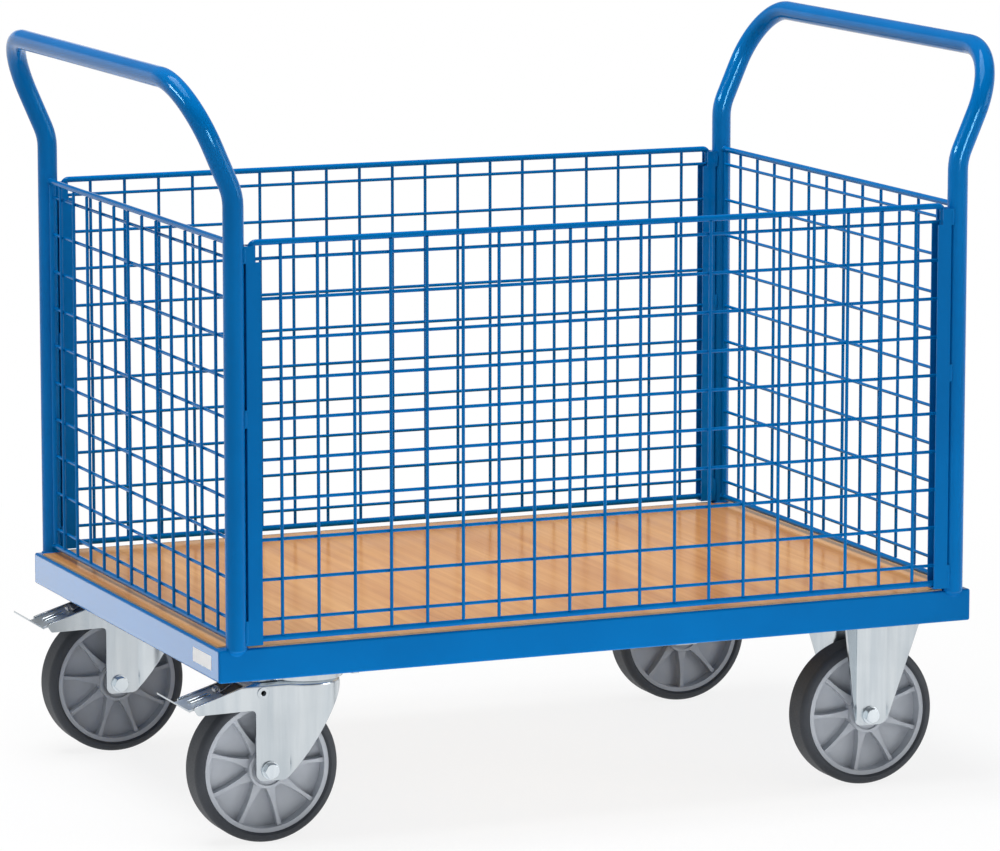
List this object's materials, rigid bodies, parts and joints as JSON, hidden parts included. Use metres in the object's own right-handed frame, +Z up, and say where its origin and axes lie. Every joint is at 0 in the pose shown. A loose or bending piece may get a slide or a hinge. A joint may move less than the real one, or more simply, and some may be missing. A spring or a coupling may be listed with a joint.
{
  "type": "four-sided mesh trolley",
  "caption": "Platform trolley with wire-mesh walls on every side, push-handle hoops at both ends, lift-out long walls, braked swivel castors and fixed castors.",
  "frame": {"origin": "on the floor under the middle of the platform", "axes": "+X along the length towards the fixed castors, +Y across, +Z up"},
  "size_m": [1.176, 0.763, 1.0075],
  "materials": {
    "blue_paint": "satin powder coat",
    "wood_decor": "satin beech decor",
    "zinc": "bright zinc plating",
    "bearing_steel": "plain steel",
    "rim_plastic": "moulded grey",
    "tyre_rubber": "matt elastomer",
    "black_plastic": "moulded black"
  },
  "bodies": {
    "chassis": {"front_rail": "blue_paint", "rear_rail": "blue_paint", "left_end_rail": "blue_paint", "right_end_rail": "blue_paint", "left_cross_member": "blue_paint", "right_cross_member": "blue_paint", "corner_plates": "blue_paint", "left_handle_hoop": "blue_paint", "right_handle_hoop": "blue_paint", "left_end_mesh": "blue_paint", "right_end_mesh": "blue_paint", "front_left_channel": "blue_paint", "front_right_channel": "blue_paint", "rear_left_channel": "blue_paint", "rear_right_channel": "blue_paint", "deck_board": "wood_decor", "castor_plate_bolts": "zinc", "castor_plate_nuts": "zinc", "front_left_castor_plate": "zinc", "front_left_swivel_race": "zinc", "front_left_kingpin": "zinc", "rear_left_castor_plate": "zinc", "rear_left_swivel_race": "zinc", "rear_left_kingpin": "zinc", "front_right_castor_fork": "zinc", "front_right_axle_bolt": "zinc", "front_right_axle_nut": "zinc", "front_right_axle_sleeve": "zinc", "rear_right_castor_fork": "zinc", "rear_right_axle_bolt": "zinc", "rear_right_axle_nut": "zinc", "rear_right_axle_sleeve": "zinc"},
    "front_left_wheel": {"front_left_wheel_rim": "rim_plastic", "front_left_tyre": "tyre_rubber", "front_left_wheel_bearings": "bearing_steel"},
    "front_left_swivel": {"front_left_castor_fork": "zinc", "front_left_axle_bolt": "zinc", "front_left_axle_nut": "zinc", "front_left_axle_sleeve": "zinc", "front_left_brake_rivets": "zinc"},
    "front_left_brake": {"front_left_brake_pedal": "zinc", "front_left_brake_block": "black_plastic"},
    "rear_left_wheel": {"rear_left_wheel_rim": "rim_plastic", "rear_left_tyre": "tyre_rubber", "rear_left_wheel_bearings": "bearing_steel"},
    "rear_left_swivel": {"rear_left_castor_fork": "zinc", "rear_left_axle_bolt": "zinc", "rear_left_axle_nut": "zinc", "rear_left_axle_sleeve": "zinc", "rear_left_brake_rivets": "zinc"},
    "rear_left_brake": {"rear_left_brake_pedal": "zinc", "rear_left_brake_block": "black_plastic"},
    "front_right_wheel": {"front_right_wheel_rim": "rim_plastic", "front_right_tyre": "tyre_rubber", "front_right_wheel_bearings": "bearing_steel"},
    "rear_right_wheel": {"rear_right_wheel_rim": "rim_plastic", "rear_right_tyre": "tyre_rubber", "rear_right_wheel_bearings": "bearing_steel"},
    "front_panel": {"front_mesh_panel": "blue_paint"},
    "rear_panel": {"rear_mesh_panel": "blue_paint"}
  },
  "joints": [
    {"name": "front_left_swivel_turn", "type": "hinge", "parent": "chassis", "child": "front_left_swivel", "pos_m": [-0.392, -0.295, 0.212], "axis": [0, 0, 1], "continuous": true},
    {"name": "front_left_brake_tip", "type": "hinge", "parent": "front_left_swivel", "child": "front_left_brake", "pos_m": [-0.461, -0.295, 0.2], "axis": [0, -1, 0], "range_deg": [0, 7]},
    {"name": "front_left_wheel_spin", "type": "hinge", "parent": "front_left_swivel", "child": "front_left_wheel", "pos_m": [-0.452, -0.295, 0.098], "axis": [0, 1, 0], "continuous": true},
    {"name": "rear_left_swivel_turn", "type": "hinge", "parent": "chassis", "child": "rear_left_swivel", "pos_m": [-0.392, 0.295, 0.212], "axis": [0, 0, 1], "continuous": true},
    {"name": "rear_left_brake_tip", "type": "hinge", "parent": "rear_left_swivel", "child": "rear_left_brake", "pos_m": [-0.461, 0.295, 0.2], "axis": [0, -1, 0], "range_deg": [0, 7]},
    {"name": "rear_left_wheel_spin", "type": "hinge", "parent": "rear_left_swivel", "child": "rear_left_wheel", "pos_m": [-0.452, 0.295, 0.098], "axis": [0, 1, 0], "continuous": true},
    {"name": "front_right_wheel_spin", "type": "hinge", "parent": "chassis", "child": "front_right_wheel", "pos_m": [0.412, -0.295, 0.098], "axis": [0, 1, 0], "continuous": true},
    {"name": "rear_right_wheel_spin", "type": "hinge", "parent": "chassis", "child": "rear_right_wheel", "pos_m": [0.412, 0.295, 0.098], "axis": [0, 1, 0], "continuous": true},
    {"name": "front_panel_lift", "type": "slide", "parent": "chassis", "child": "front_panel", "axis": [0, 0, 1], "range_m": [0, 0.5]},
    {"name": "rear_panel_lift", "type": "slide", "parent": "chassis", "child": "rear_panel", "axis": [0, 0, 1], "range_m": [0, 0.5]}
  ]
}
